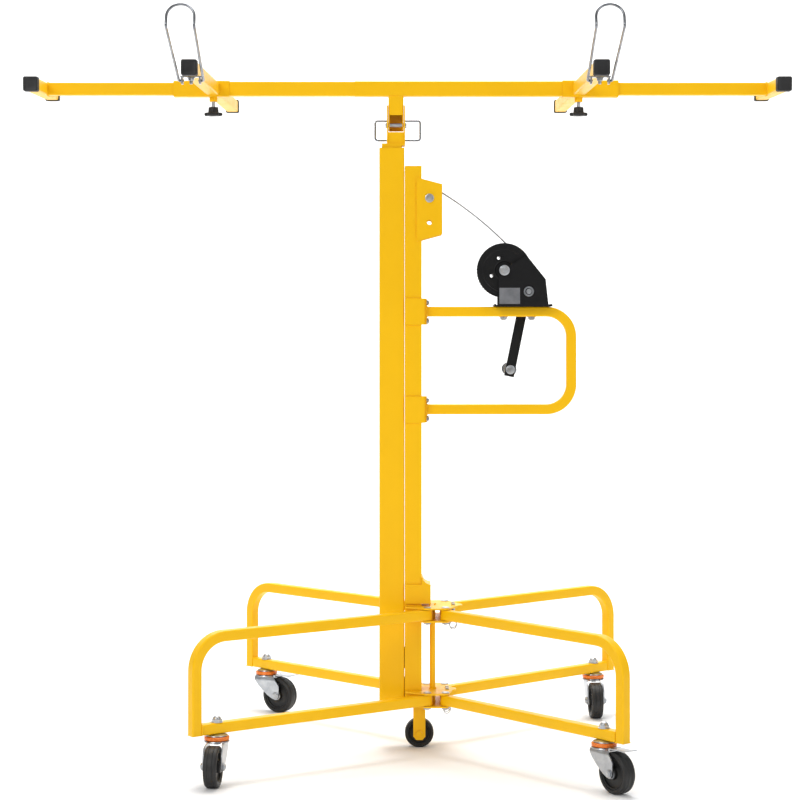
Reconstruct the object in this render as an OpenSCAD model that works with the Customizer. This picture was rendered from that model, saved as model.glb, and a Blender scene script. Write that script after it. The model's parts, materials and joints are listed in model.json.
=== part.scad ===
/* [Mast] */
// Width of the square lifting tube
lift_w = 50; // [44:1:64]
// Wall of the mast tubes
mast_wall = 2; // [1.5:0.1:3]
// Top of the lifting tube above the floor
lift_top = 1195; // [1000:5:1450]
// Width of the fixed channel across the crossbar direction
channel_w = 33.5; // [30:0.5:44]
// Top of the fixed channel above the floor
channel_top = 1159; // [960:1:1400]
// Bottom of both mast tubes above the floor
mast_foot = 92; // [88:1:110]
// Width of the inner tube that carries the head
inner_w = 40; // [34:1:42]
// Gap between the channel and the lifting tube
mast_gap = 0.7; // [0.5:0.1:2]

/* [Cradle] */
// Height of the crossbar axis above the floor
bar_z = 1313.5; // [1280:1:1600]
// Side of the main crossbar tube
bar_w = 30; // [28:0.5:40]
// Side of the plug-in left half of the crossbar
left_bar_w = 28.6; // [27.6:0.2:38]
// Side of the arm, outrigger and end tubes
arm_w = 25; // [20:0.5:25]
// Distance of each arm from the post
arm_x = 365; // [300:1:450]
// Length of each arm
arm_len = 932; // [700:1:1200]
// Reach of the left outrigger
left_reach = 707; // [620:1:760]
// Reach of the right outrigger
right_reach = 752; // [640:1:800]
// Length of each outrigger's end bar
end_bar_len = 260; // [160:1:400]
// Forward lean of the cradle as it is left
rest_tilt = 2; // [0:0.1:6]

/* [Base] */
// Side of the leg tube
leg_w = 20; // [16:0.5:24]
// Wall of the leg tube
leg_wall = 1.5; // [1:0.1:2.5]
// Axis of the upper leg tube above the floor
leg_top = 270; // [230:1:360]
// Axis of the lower leg tube above the floor
leg_low = 102; // [102:1:120]
// Radius of the bend at the top of each leg
leg_bend = 60; // [40:1:80]
// Length of each left leg
left_leg = 522; // [400:1:650]
// Length of each right leg
right_leg = 476; // [400:1:650]
// Angle of the front left leg from the crossbar direction
fl_angle = 34.8; // [20:0.1:60]
// Angle of the back left leg
bl_angle = 43.4; // [20:0.1:60]
// Angle of the front right leg
fr_angle = 49.4; // [20:0.1:60]
// Angle of the back right leg
br_angle = 40.3; // [20:0.1:60]

/* [Casters] */
// Diameter of the caster wheels
wheel_d = 75; // [60:1:75]
// Width of the caster wheels
wheel_w = 25; // [20:1:30]
// Trail of each wheel behind its stem
trail = 35; // [28:1:42]
// Diameter of the fixed centre wheel
centre_d = 57.6; // [50:0.2:60]

/* [Winch] */
// Axis height of the upper tube of the winch frame
frame_top = 869.3; // [780:1:960]
// Axis height of the lower tube of the winch frame
frame_low = 674.2; // [560:1:720]
// Distance of the winch frame's upright from the head axis
frame_x = 350; // [330:1:420]
// Gear teeth on the drum
gear_teeth = 52; // [48:1:54]
// Teeth on the crank pinion
pinion_teeth = 12; // [10:1:14]
// Gear module
gear_module = 2; // [1.8:0.05:2.1]
// Length of the crank
crank_len = 160; // [120:1:180]
// Diameter of the lifting cable
cable_d = 3.5; // [3:0.1:4]

/* [Hidden] */
$fn = 48;

yellow = [0.98, 0.74, 0.02];
zinc = [0.78, 0.8, 0.82];
steel = [0.62, 0.63, 0.65];
black = [0.07, 0.07, 0.08];

// Running and loose fits
run_gap = 0.05;
slide_gap = 0.4;
loose = 0.3;
corner = 3;

// Mast layout, all on the centre plane y = 0
channel_x1 = 51;
channel_x0 = channel_x1 - channel_w;
channel_d = 50;
channel_wall = 2.5;
lip_gap = 20;
lift_x1 = channel_x0 - mast_gap;
lift_x = lift_x1 - lift_w / 2;
collar_wall = 3;

// Head
pin_y = -9;
pin_z = 1241 + bar_z - 1313.5;
pin_r = 4;
cheek_in = bar_w / 2 + slide_gap;
cheek_t = 2.8;
cheek_low = pin_z - 37;
cheek_top = pin_z + 39;
block_top = pin_z - 14;
inner_top = lift_top + 5;

// Cradle
bar_wall = 2;
left_wall = 1.5;
arm_wall = 1.5;
split_x = -82;
spigot_len = 60;
sleeve_wall = 1.5;
sleeve_in = 332;
sleeve_out = 443;
cap_t = 1.5;
cap_len = 16;
tail = 120;
post_wall = 2.5;
post_low = pin_z - 11;

// Hook
hook_wire = 5;
hook_y = -425;
hook_z = -(arm_w / 2 + 8);
hook_half = 22;
hook_kink = [-607, 56];
hook_head = 42;

// Hub
hub_t = 3;
hub_gap = 1;
pivot_y = 50;
left_px = 62;
right_px = 98;
pivot_r = 5;
strut_x = 73;
strut_d = 11.5;
hub_tip = 130;
stem_in = 46;

// Casters
fork_w = 37;
fork_t = 2.5;
fork_top = 76;
stem_r = 6;
axle_r = 4;
seal_r = 23.5;
race_r = 12.7;
seal_low = fork_top + hub_t + 1.4;
race_top = 87;

// Winch
sheave_x = 66.6;
sheave_z = 1094.7 + channel_top - 1159;
sheave_r = 25;
sheave_line = 23.75;
spare_z = sheave_z - 48;
base_x0 = 197;
base_x1 = 308;
base_t = 3;
base_z = frame_top + leg_w / 2;
side_y = 32;
drum_x = 215;
drum_z = base_z + 71.7;
gear_cd = gear_module * (gear_teeth + pinion_teeth) / 2;
pinion_drop = 42;
pinion_x = drum_x + sqrt(gear_cd * gear_cd - pinion_drop * pinion_drop);
pinion_z = drum_z - pinion_drop;
drum_line = 40.8;
crank_lean = 11.5;
crank_y = 48;
grip_x = pinion_x - crank_len * sin(crank_lean);
grip_z = pinion_z - crank_len * cos(crank_lean);
cable_bend = 700;
frame_bend = 50;
frame_x0 = 61;

// Rounded square, exact
module rounded(w, r) {
  square([w, w - 2 * r], center = true);
  square([w - 2 * r, w], center = true);
  for (i = [-1, 1], j = [-1, 1])
    translate([i * (w / 2 - r), j * (w / 2 - r)]) circle(r);
}

// Section of a square tube
module section(w, wall) {
  difference() {
    rounded(w, corner);
    rounded(w - 2 * wall, max(corner - wall, 0.5));
  }
}

// Square tube along z
module tube(w, wall, len) {
  linear_extrude(len) section(w, wall);
}

// Square tube along x from x0 to x1
module tube_x(w, wall, x0, x1) {
  translate([x0, 0, 0]) rotate([90, 0, 90]) tube(w, wall, x1 - x0);
}

// Square tube along y from y0 to y1
module tube_y(w, wall, y0, y1) {
  translate([0, y1, 0]) rotate([90, 0, 0]) tube(w, wall, y1 - y0);
}

// Round bar along y, centred on y = mid
module bar_y(r, len, mid = 0) {
  translate([0, mid + len / 2, 0]) rotate([90, 0, 0]) cylinder(r = r, h = len);
}

// Round bar along x, centred
module bar_x(r, len) {
  rotate([0, 90, 0]) cylinder(r = r, h = len, center = true);
}

// Six sided head, across corners 2r
module hex(r, h) {
  cylinder(r = r, h = h, $fn = 6);
}

// Bolt along z with a head below and a nut above
module bolt(r, z0, z1) {
  translate([0, 0, z0]) cylinder(r = r, h = z1 - z0);
  translate([0, 0, z0 - 1.1 * r]) hex(1.9 * r, 1.1 * r);
  translate([0, 0, z1]) hex(1.9 * r, 1.3 * r);
}

function unit(v) = v / norm(v);

// A direction across each tangent, carried along the path without twist
function carried(ts, i, last) = i >= len(ts) ? [] :
  let (u = unit(last - (last * ts[i]) * ts[i])) concat([u], carried(ts, i + 1, u));

// Five points that round the corner at b, starting and ending d away from it
function rounded_bend(a, b, c, d) = let (p = b + d * unit(a - b), q = b + d * unit(c - b)) [
  for (t = [0:0.25:1]) pow(1 - t, 2) * p + 2 * t * (1 - t) * b + t * t * q
];

// Round bar that follows a path of points
module sweep(path, r, sides) {
  n = len(path);
  ts = [for (i = [0:n - 1]) unit(path[min(i + 1, n - 1)] - path[max(i - 1, 0)])];
  ups = carried(ts, 0, [0, 0.3, 1]);
  points = [for (i = [0:n - 1], k = [0:sides - 1])
    let (a = 360 * k / sides, v = cross(ts[i], ups[i]))
    path[i] + r * (cos(a) * ups[i] + sin(a) * v)];
  walls = [for (i = [0:n - 2], k = [0:sides - 1], half = [0, 1])
    let (j = (k + 1) % sides, p = i * sides, q = p + sides)
    half ? [p + k, q + j, p + j] : [p + k, q + k, q + j]];
  caps = [[for (k = [0:sides - 1]) k], [for (k = [sides - 1:-1:0]) (n - 1) * sides + k]];
  polyhedron(points, concat(walls, caps), convexity = 6);
}

// Puts the cradle's pieces at its forward lean
module leaned() {
  translate([0, pin_y, pin_z]) rotate([rest_tilt, 0, 0]) translate([0, -pin_y, -pin_z]) children();
}

// ---------- fixed mast ----------

module fixed_mast() color(yellow) {
  difference() {
    translate([channel_x0, -channel_d / 2, mast_foot])
      cube([channel_w, channel_d, channel_top - mast_foot]);
    translate([channel_x0 + channel_wall, -channel_d / 2 + channel_wall, mast_foot - 1])
      cube([channel_w - 2 * channel_wall, channel_d - 2 * channel_wall, channel_top]);
    translate([channel_x0 - 1, -lip_gap / 2, mast_foot - 1])
      cube([channel_wall + 2, lip_gap, channel_top]);
    translate([channel_x1 - channel_wall - 1, -8, sheave_z - sheave_r - 6])
      cube([channel_wall + 2, 16, 2 * sheave_r + 12]);
  }
}

// Side plate of the pulley bracket, in the x-z plane
module bracket_outline() {
  polygon([[41, sheave_z + 41.3], [92, sheave_z + 27.8], [92, sheave_z - 71.7], [41, sheave_z - 85.7]]);
}

module pulley_bracket() color(yellow) {
  for (side = [-1, 1])
    translate([0, side * (channel_d / 2 + 1.5 + 0.1), 0]) rotate([90, 0, 0])
      linear_extrude(3, center = true) difference() {
        bracket_outline();
        translate([sheave_x, sheave_z]) circle(axle_r + 0.2);
        translate([sheave_x, spare_z]) circle(5);
      }
}

module hub_collar() color(yellow) {
  collar_y = channel_d / 2 + 4;
  difference() {
    union() {
      translate([channel_x0, -collar_y, leg_top + 19])
        cube([69 - channel_x0, 2 * collar_y, 38]);
      translate([channel_x1 + 0.2, -collar_y, leg_top + 57])
        cube([16, 2 * collar_y, 14]);
    }
    translate([channel_x0 - 1, -channel_d / 2 - 0.2, leg_top])
      cube([channel_w + 1.2, channel_d + 0.4, 90]);
    translate([69, 0, leg_top + 73]) bar_y(15.8, 3 * collar_y);
  }
}

// One clevis plate of the hub
module hub_plate(z, tip) {
  reach = pivot_y + 13;
  translate([0, 0, z]) linear_extrude(hub_t) difference() {
    union() {
      polygon([
        [channel_x0 + 1, -34], [left_px - 6, -reach], [right_px + 4, -reach], [tip - 6, -16],
        [tip - 6, 16], [right_px + 4, reach], [left_px - 6, reach], [channel_x0 + 1, 34]
      ]);
      translate([tip - 16, 0]) circle(18.5);
    }
    translate([channel_x0, -channel_d / 2 - 0.2]) square([channel_w + 0.2, channel_d + 0.4]);
    for (side = [-1, 1]) {
      translate([left_px, side * pivot_y]) circle(pivot_r);
      translate([right_px, side * pivot_y]) circle(pivot_r);
      translate([tip - 16, side * 10]) circle(4);
    }
    translate([strut_x, 0]) circle(strut_d / 2 + 0.1);
  }
}

hub_levels = [
  leg_top + leg_w / 2 + hub_gap, leg_top - leg_w / 2 - hub_gap - hub_t,
  leg_low + leg_w / 2 + hub_gap, leg_low - leg_w / 2 - hub_gap - hub_t
];

module hub_plates() color(yellow) {
  for (i = [0, 1]) hub_plate(hub_levels[i], hub_tip);
  for (i = [2, 3]) hub_plate(hub_levels[i], hub_tip - 12);
  // Round strut through all four plates
  translate([strut_x, 0, hub_levels[3]])
    cylinder(d = strut_d, h = hub_levels[0] + hub_t - hub_levels[3]);
}

module frame_bolts() color(steel) {
  // Leg pivots, one through each clevis
  for (px = [left_px, right_px], side = [-1, 1], i = [0, 2])
    translate([px, side * pivot_y, hub_levels[i + 1]]) {
      cylinder(r = pivot_r, h = hub_levels[i] + hub_t - hub_levels[i + 1]);
      translate([0, 0, -4]) hex(8, 4);
      translate([0, 0, hub_levels[i] + hub_t - hub_levels[i + 1]]) cylinder(r = 8, h = 2.4);
    }
  // Sheave axle
  translate([sheave_x, 0, sheave_z]) {
    bar_y(axle_r, channel_d + 6.2);
    for (side = [-1, 1]) translate([0, side * (channel_d / 2 + 5.6), 0]) rotate([90, 0, 0])
      cylinder(r = 7.2, h = 5, center = true, $fn = 6);
  }
  // Winch frame flanges
  for (z = [frame_top, frame_low], up = [-1, 1])
    translate([channel_x1 + 0.2, 0, z + up * 19]) rotate([0, 90, 0]) {
      cylinder(r = 3, h = frame_x0 - channel_x1 - 0.2);
      translate([0, 0, frame_x0 - channel_x1 - 0.2]) hex(6, 4);
    }
  // Winch base
  for (x = [drum_x, drum_x + 56])
    translate([x, 0, 0]) bolt(4, frame_top - leg_w / 2, base_z + base_t);
}

// Quick pin with a ring below the clevis
module lock_pin(x, y, z0, z1) {
  translate([x, y, z0 - 3]) cylinder(r = 3.6, h = z1 - z0 + 6);
  translate([x, y, z0 - 12]) rotate([90, 0, 30]) rotate_extrude() translate([8, 0]) circle(1);
}

module lock_pins() color(zinc) {
  for (side = [-1, 1]) {
    lock_pin(hub_tip - 16, side * 10, hub_levels[1], hub_levels[0] + hub_t);
    lock_pin(hub_tip - 28, side * 10, hub_levels[3], hub_levels[2] + hub_t);
  }
}

module winch_frame() color(yellow) {
  straight = frame_x - frame_bend;
  for (z = [frame_low, frame_top]) translate([0, 0, z]) difference() {
    tube_x(leg_w, leg_wall, frame_x0, straight);
    if (z == frame_top) for (x = [drum_x, drum_x + 56])
      translate([x, 0, -leg_w]) cylinder(r = 4, h = 2 * leg_w);
  }
  translate([frame_x, 0, frame_low + frame_bend])
    tube(leg_w, leg_wall, frame_top - frame_low - 2 * frame_bend);
  for (up = [0, 1])
    translate([straight, 0, up ? frame_top - frame_bend : frame_low + frame_bend])
      rotate([90, up ? 0 : 90, 0]) rotate_extrude(angle = 90)
        translate([frame_bend, 0]) section(leg_w, leg_wall);
}

module winch_clamps() color(yellow) {
  half = channel_d / 2 + 0.2;
  for (z = [frame_top, frame_low]) translate([0, 0, z - 26]) difference() {
    union() {
      translate([channel_x0, -half - collar_wall, 0])
        cube([channel_w + 2.2, 2 * (half + collar_wall), 52]);
      translate([frame_x0 - 8, -half - collar_wall, 0]) cube([3.9, 2 * (half + collar_wall), 52]);
      translate([frame_x0 - 4, -15, 0]) cube([4, 30, 52]);
    }
    translate([channel_x0 - 1, -half, -1]) cube([channel_w + 1.2, 2 * half, 54]);
    for (up = [-1, 1]) translate([frame_x0 - 4, 0, 26 + up * 19]) bar_x(3, 20);
  }
}

// Front outline of a winch side plate; the tall one also guards the drum
module side_outline(tall) {
  polygon([
    [base_x0 + 7, base_z + base_t], [base_x0 + 7, drum_z], [drum_x + 8, drum_z + 8],
    [drum_x + (tall ? 41 : 44), drum_z + (tall ? 36 : 30)], [297, drum_z - 17.5], [302.6, base_z + base_t]
  ]);
  translate([drum_x, drum_z]) circle(11);
}

module winch_body() color(black) {
  difference() {
    union() {
      translate([base_x0, -side_y - base_t, base_z])
        cube([base_x1 - base_x0, 2 * (side_y + base_t), base_t]);
      for (side = [-1, 1])
        translate([0, side * (side_y + base_t / 2), 0]) rotate([90, 0, 0])
          linear_extrude(base_t, center = true) side_outline(side > 0);
      translate([drum_x, 0, drum_z]) bar_y(5.6, 2 * side_y);
      translate([291, 0, pinion_z + 16]) bar_y(2.9, 2 * side_y);
    }
    translate([pinion_x, 0, pinion_z]) bar_y(stem_r + run_gap, 90);
    for (x = [drum_x, drum_x + 56]) translate([x, 0, base_z - 1]) cylinder(r = 4, h = 5);
  }
  for (side = [-1, 1])
    translate([drum_x, side * (side_y + base_t + 3), drum_z]) rotate([90, 0, 0])
      cylinder(r = 9, h = 6, center = true);
}

module winch_label() color(steel) {
  translate([drum_x - 10, -side_y - base_t - 0.6, base_z + 5]) cube([41, 0.6, 32]);
}

// The cable leaves the sheave, sags the other way over a wide arc and meets the drum
cable_far = sqrt(pow(drum_x - sheave_x, 2) + pow(drum_z - sheave_z, 2));
cable_a = cable_bend - sheave_line;
cable_b = cable_bend - drum_line;
cable_u = (cable_a * cable_a - cable_b * cable_b + cable_far * cable_far) / (2 * cable_far);
cable_v = sqrt(cable_a * cable_a - cable_u * cable_u);
cable_dir = [(drum_x - sheave_x) / cable_far, (drum_z - sheave_z) / cable_far];
cable_cx = sheave_x + cable_u * cable_dir[0] + cable_v * cable_dir[1];
cable_cz = sheave_z + cable_u * cable_dir[1] - cable_v * cable_dir[0];
cable_start = atan2(sheave_z - cable_cz, sheave_x - cable_cx);
cable_end = atan2(drum_z - cable_cz, drum_x - cable_cx);

// Points of an arc in the x-z plane, from angle a0 to a1 in n steps
function arc_points(x, z, r, a0, a1, n) = [
  for (i = [0:n]) let (a = a0 + (a1 - a0) * i / n) [x + r * cos(a), 0, z + r * sin(a)]
];

module lift_cable() color(steel)
  sweep(concat(
    arc_points(sheave_x, sheave_z, sheave_line, 180, cable_start + 8, 12),
    arc_points(cable_cx, cable_cz, cable_bend, cable_start, cable_end, 16)
  ), cable_d / 2, 8);

cable_x = sheave_x - sheave_line;
block_low = mast_foot + 6;
block_h = 40;
block_pitch = 60;

module mast_cable() color(steel) {
  translate([cable_x, 0, block_low + block_h])
    cylinder(d = cable_d, h = sheave_z - block_low - block_h);
}

module wheel_fork() color(yellow) {
  axle_z = centre_d / 2;
  top = mast_foot - hub_t;
  step = hub_levels[3] - 0.3;
  x = 46.5;
  inside = channel_x1 - 0.5 - x;
  for (side = [-1, 1])
    translate([x, side * 15.5, 0]) rotate([90, 0, 0]) linear_extrude(3, center = true)
      polygon([
        [-12, 23], [-6, 16], [6, 16], [12, 23], [12, step], [inside, step],
        [inside, top], [-12, top]
      ]);
  translate([x - 12, -17, top]) cube([inside + 12, 34, hub_t]);
  translate([x, 0, axle_z]) {
    bar_y(axle_r, 34);
    for (side = [-1, 1]) translate([0, side * 19, 0]) rotate([90, 0, 0])
      cylinder(r = 6.5, h = 4, center = true, $fn = 6);
  }
}

// ---------- lifting stages ----------

module lift_tube() color(yellow) {
  translate([lift_x, 0, mast_foot]) tube(lift_w, mast_wall, lift_top - mast_foot);
}

module guide_block(z, deep) {
  translate([lift_x1, -lip_gap / 2 + slide_gap, z])
    cube([mast_gap + channel_wall + 2, lip_gap - 2 * slide_gap, block_h]);
  translate([channel_x0 + channel_wall + slide_gap, -channel_d / 2 + channel_wall + slide_gap, z])
    cube([deep, channel_d - 2 * (channel_wall + slide_gap), block_h]);
}

module guide_blocks() color(black) {
  guide_block(block_low, cable_x - channel_x0 - channel_wall + 3);
  guide_block(block_low + block_pitch, cable_x - channel_x0 - channel_wall - 5);
}

module inner_tube() color(yellow) {
  translate([lift_x, 0, mast_foot + 20]) tube(inner_w, mast_wall, inner_top - mast_foot - 20);
}

module head_clevis() color(yellow) {
  translate([lift_x - inner_w / 2, -20, inner_top])
    cube([cheek_in + cheek_t - lift_x + inner_w / 2, 40, cheek_low - inner_top + 0.001]);
  difference() {
    union() {
      for (side = [-1, 1])
        translate([side * (cheek_in + cheek_t / 2), 0, (cheek_low + cheek_top) / 2])
          cube([cheek_t, 36, cheek_top - cheek_low], center = true);
      translate([-cheek_in, -16, cheek_low]) cube([2 * cheek_in, 32, block_top - cheek_low]);
    }
    translate([0, pin_y, pin_z]) bar_x(pin_r, 60);
    for (z = [pin_z - 29, pin_z + 10]) translate([0, 6, z]) bar_x(2 + loose, 60);
  }
}

module pivot_pin() color(zinc) {
  translate([0, pin_y, pin_z]) {
    bar_x(pin_r, 2 * (cheek_in + cheek_t));
    for (side = [-1, 1]) translate([side * (cheek_in + cheek_t + 1.5), 0, 0]) bar_x(5.5, 3);
  }
}

// ---------- cradle ----------

module cradle_post() color(yellow) leaned() {
  top = bar_z - bar_w / 2;
  difference() {
    translate([0, 0, post_low]) tube(bar_w, post_wall, top - post_low);
    translate([-bar_w / 2 + post_wall, -bar_w, post_low - 1])
      cube([bar_w - 2 * post_wall, bar_w / 2 + 5, 32]);
    translate([0, pin_y, pin_z]) bar_x(pin_r + run_gap, 60);
    for (side = [-1, 1]) translate([side * 15, 6, pin_z + 10]) bar_x(2 + loose, 10);
  }
}

module crossbar_main() color(yellow) leaned() {
  translate([0, 0, bar_z]) difference() {
    tube_x(bar_w, bar_wall, split_x, sleeve_out);
    translate([arm_x, 0, -bar_w]) cylinder(r = 4.4, h = bar_w);
  }
}

module crossbar_left() color(yellow) leaned() {
  translate([0, 0, bar_z]) {
    difference() {
      tube_x(left_bar_w, left_wall, -sleeve_out, split_x);
      translate([-arm_x, 0, -bar_w]) cylinder(r = 4.4, h = bar_w);
    }
    tube_x(left_bar_w - 2 * left_wall - 0.01, left_wall, split_x - spigot_len, split_x + spigot_len);
  }
}

// Both halves of an arm, welded on the sleeve's front and back
module arm_pair(x, bar) {
  half = bar / 2 + slide_gap / 2 + sleeve_wall;
  translate([x, 0, bar_z]) {
    tube_y(arm_w, arm_wall, -arm_len / 2, -half);
    tube_y(arm_w, arm_wall, half, arm_len / 2);
  }
}

module left_arm() color(yellow) leaned() arm_pair(-arm_x, left_bar_w);
module right_arm() color(yellow) leaned() arm_pair(arm_x, bar_w);

module sleeve(side, bar) {
  outer = bar + slide_gap + 2 * sleeve_wall;
  low = bar_z - outer / 2;
  difference() {
    union() {
      translate([side > 0 ? 0 : -sleeve_in - sleeve_out, 0, bar_z])
        tube_x(outer, sleeve_wall, sleeve_in, sleeve_out);
      translate([side * arm_x, 0, low - 9]) cylinder(r = 8, h = 9.6);
    }
    translate([side * arm_x, 0, low - 10]) cylinder(r = 4.4, h = 14);
  }
}

module arm_sleeves() color(yellow) leaned() {
  sleeve(-1, left_bar_w);
  sleeve(1, bar_w);
}

// Black plastic cap over the end of an arm tube, mouth at y = 0, facing -y
module end_cap() {
  outer = arm_w + 2 * cap_t;
  rotate([90, 0, 0]) {
    linear_extrude(cap_t) rounded(outer, corner);
    translate([0, 0, -cap_len]) linear_extrude(cap_len) difference() {
      rounded(outer, corner);
      rounded(arm_w + 0.02, corner);
    }
  }
}

module arm_caps() color(black) leaned() {
  for (x = [-arm_x, arm_x], turn = [0, 180])
    translate([x, 0, bar_z]) rotate([0, 0, turn]) translate([0, -arm_len / 2, 0]) end_cap();
}

module hook_brackets() color(zinc) leaned() {
  for (x = [-arm_x, arm_x]) translate([x, hook_y, bar_z]) {
    translate([-hook_half + 3, -9, -arm_w / 2 - 2]) cube([2 * hook_half - 6, 18, 2]);
    for (side = [-1, 1]) translate([side * (hook_half - 6) - 1.5, -9, -arm_w / 2 - 14])
      difference() {
        cube([3, 18, 13]);
        translate([0, 9, 14 + arm_w / 2 + hook_z]) bar_x(hook_wire / 2 + 0.1, 20);
      }
  }
}

module outrigger(side, reach) {
  mirror([side < 0 ? 1 : 0, 0, 0]) {
    translate([0, 0, bar_z]) tube_x(arm_w, arm_wall, sleeve_out - tail, reach - arm_w / 2);
    translate([reach, 0, bar_z]) tube_y(arm_w, arm_wall, -end_bar_len / 2, end_bar_len / 2);
  }
}

module tip_caps(x) color(black) leaned()
  for (turn = [0, 180])
    translate([x, 0, bar_z]) rotate([0, 0, turn]) translate([0, -end_bar_len / 2, 0]) end_cap();

module tip_caps_left() tip_caps(-left_reach);
module tip_caps_right() tip_caps(right_reach);

module outrigger_left() color(yellow) leaned() outrigger(-1, left_reach);
module outrigger_right() color(yellow) leaned() outrigger(1, right_reach);

// Star knob with its threaded stud
module knob() {
  top = bar_z - arm_w / 2 - slide_gap;
  disc = bar_z - 53.5;
  translate([0, 0, disc + 6]) cylinder(r = 4, h = top - disc - 6);
  translate([0, 0, disc + 6]) cylinder(r = 9.8, h = 12);
  linear_extrude_z(disc, 7) union() {
    circle(13);
    for (i = [0:5]) rotate(60 * i) translate([13.5, 0]) circle(5);
  }
}

module linear_extrude_z(z, h) {
  translate([0, 0, z]) linear_extrude(h) children();
}

module knob_left() color(black) leaned() translate([-arm_x, 0, 0]) knob();
module knob_right() color(black) leaned() translate([arm_x, 0, 0]) knob();

// Round wire from one point to another
module wire(a, b, r) {
  d = b - a;
  len = norm(d);
  translate(a) rotate([0, acos(d[2] / len), atan2(d[1], d[0])]) cylinder(r = r, h = len);
}

// Wire hook hinged under an arm, reaching forward and up
module hook(x) {
  wide = hook_half + 2;
  rise = hook_head - wide;
  lean = 22;
  back = [0, sin(lean), cos(lean)];
  foot = [hook_half, hook_y, hook_z];
  kink = [wide, hook_kink[0], hook_kink[1]];
  crown = kink + rise * back;
  half = concat(
    [[hook_half - 9, hook_y, hook_z]],
    rounded_bend(foot - [9, 0, 0], foot, kink, 5),
    rounded_bend(foot, kink, crown, 6),
    [for (a = [0:12:84]) crown - [wide * (1 - cos(a)), 0, 0] + wide * sin(a) * back]
  );
  top = [[0, crown[1], crown[2]] + wide * back];
  n = len(half);
  other = [for (i = [n - 1:-1:0]) [-half[i][0], half[i][1], half[i][2]]];
  translate([x, 0, bar_z]) sweep(concat(half, top, other), hook_wire / 2, 12);
}

module hook_left() color(zinc) leaned() hook(-arm_x);
module hook_right() color(zinc) leaned() hook(arm_x);

// Wire bail of a latch, standing out of one cheek
module bail(side, reach) {
  r = 2;
  low = pin_z - 29;
  high = pin_z + 10;
  x0 = cheek_in + 0.4;
  bend = 5;
  translate([0, 6, 0]) mirror([side < 0 ? 1 : 0, 0, 0]) {
    wire([x0, 0, high], [reach - bend, 0, high], r);
    wire([x0 - 8, 0, low], [reach - bend, 0, low], r);
    wire([reach, 0, low + bend], [reach, 0, high - bend], r);
    translate([reach - bend, 0, high - bend]) rotate([90, 0, 0])
      rotate_extrude(angle = 90) translate([bend, 0]) circle(r);
    translate([reach - bend, 0, low + bend]) rotate([90, 90, 0])
      rotate_extrude(angle = 90) translate([bend, 0]) circle(r);
  }
}

module latch_left() color(zinc) bail(-1, 41.5);
module latch_right() color(zinc) bail(1, 48.5);

// ---------- legs and casters ----------

// Closed leg frame along +x from its pivot, at real heights
module leg(len) {
  rise = leg_top - leg_low;
  half = leg_w / 2;
  difference() {
    union() {
      translate([0, 0, leg_top]) tube_x(leg_w, leg_wall, 0, len - leg_bend);
      translate([0, 0, leg_low]) tube_x(leg_w, leg_wall, 0, len - half);
      for (z = [leg_low, leg_top]) translate([0, 0, z - half]) cylinder(r = half, h = leg_w);
    }
    for (z = [leg_low, leg_top]) translate([0, 0, z - leg_w]) cylinder(r = pivot_r + run_gap, h = 2 * leg_w);
    translate([len - stem_in, 0, leg_low - leg_w]) cylinder(r = stem_r, h = 2 * leg_w);
  }
  translate([len, 0, leg_low - half]) tube(leg_w, leg_wall, rise - leg_bend + half);
  translate([len - half, -half, leg_low - half]) cube([leg_w, leg_w, leg_wall]);
  translate([len - leg_bend, 0, leg_top - leg_bend]) rotate([90, 0, 0])
    rotate_extrude(angle = 90) translate([leg_bend, 0]) section(leg_w, leg_wall);
}

// [side in x, side in y, angle from the x axis, length, pivot x]
FL = [-1, -1, fl_angle, left_leg, left_px];
BL = [-1, 1, bl_angle, left_leg, left_px];
FR = [1, -1, fr_angle, right_leg, right_px];
BR = [1, 1, br_angle, right_leg, right_px];

function turn_of(p) = p[0] > 0 ? p[1] * p[2] : 180 - p[1] * p[2];

module on_leg(p) {
  translate([p[4], p[1] * pivot_y, 0]) rotate([0, 0, turn_of(p)]) children();
}

module leg_fl() color(yellow) on_leg(FL) leg(left_leg);
module leg_bl() color(yellow) on_leg(BL) leg(left_leg);
module leg_fr() color(yellow) on_leg(FR) leg(right_leg);
module leg_br() color(yellow) on_leg(BR) leg(right_leg);

// Stem with its upper race, dust seal and dome nut, about the stem axis
module stem() {
  low = leg_low - leg_w / 2;
  high = leg_low + leg_w / 2;
  translate([0, 0, fork_top - 4]) hex(9, 4);
  translate([0, 0, fork_top]) cylinder(r = stem_r, h = high - fork_top);
  translate([0, 0, race_top]) cylinder(r = 20, h = low - race_top);
  translate([0, 0, high]) hex(10, 6);
  intersection() {
    translate([0, 0, high + 4]) sphere(8.2);
    translate([0, 0, high + 6]) cylinder(r = 9, h = 9);
  }
  translate([0, 0, seal_low]) difference() {
    cylinder(r = seal_r, h = race_top - seal_low);
    translate([0, 0, -1]) cylinder(r = race_r + loose, h = 20);
  }
}

// Stem positions and the directions in which the wheels trail
function stem_at(p) = [
  p[4] + (p[3] - stem_in) * cos(turn_of(p)), p[1] * pivot_y + (p[3] - stem_in) * sin(turn_of(p)), 0
];
trail_fl = -96;
trail_fr = -55;
trail_bl = -30;
trail_br = -87;

module at_stem(p, turn = 0) {
  translate(stem_at(p)) rotate([0, 0, turn]) children();
}

module stem_fl() color(zinc) at_stem(FL) stem();
module stem_fr() color(zinc) at_stem(FR) stem();
module stem_bl() color(zinc) at_stem(BL) stem();
module stem_br() color(zinc) at_stem(BR) stem();

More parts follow.
